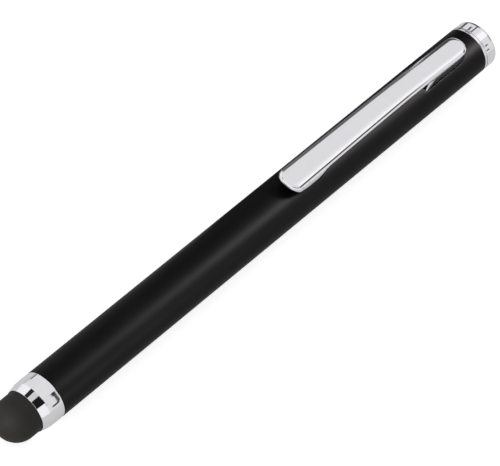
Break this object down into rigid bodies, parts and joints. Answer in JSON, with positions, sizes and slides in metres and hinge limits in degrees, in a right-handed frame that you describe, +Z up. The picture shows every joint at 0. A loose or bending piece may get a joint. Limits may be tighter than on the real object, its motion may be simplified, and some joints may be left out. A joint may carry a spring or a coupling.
{
  "type": "stylus pen",
  "caption": "Capacitive stylus pen: soft rubber dome tip in a chrome ferrule, straight black lacquered barrel, sprung chrome pocket clip and chrome end cap.",
  "frame": {"origin": "on the surface that the barrel lies on, under the middle of the pen's length and width", "axes": "+X along the pen from the rubber tip to the end cap, +Z up through the pocket clip, Y across"},
  "size_m": [0.119, 0.009, 0.0116],
  "materials": {
    "tip_rubber": "matt moulded conductive rubber",
    "ferrule_chrome": "bright chrome plate",
    "holder_brass": "turned, bare",
    "bush_brass": "turned, bare",
    "barrel_lacquer": "satin black lacquer on a metal tube",
    "clip_chrome": "bright chrome plate on spring steel sheet",
    "plug_plastic": "moulded, matt",
    "cap_chrome": "bright chrome plate"
  },
  "bodies": {
    "pen": {"barrel": "barrel_lacquer", "front_bush": "bush_brass", "nib_holder": "holder_brass", "tip_ferrule": "ferrule_chrome", "clip_root": "clip_chrome", "rear_plug": "plug_plastic", "trim_ring": "cap_chrome", "end_cap": "cap_chrome"},
    "clip": {"clip_arm": "clip_chrome"},
    "tip": {"rubber_tip": "tip_rubber"}
  },
  "joints": [
    {"name": "clip_flex", "type": "hinge", "parent": "pen", "child": "clip", "pos_m": [0.04145, 0, 0.0115], "axis": [0, 1, 0], "range_deg": [0, 5], "stiffness_Nm_per_rad": 1.5, "springref_deg": -1.72},
    {"name": "tip_press", "type": "slide", "parent": "pen", "child": "tip", "axis": [1, 0, 0], "range_m": [0, 0.001], "stiffness_N_per_m": 800}
  ]
}
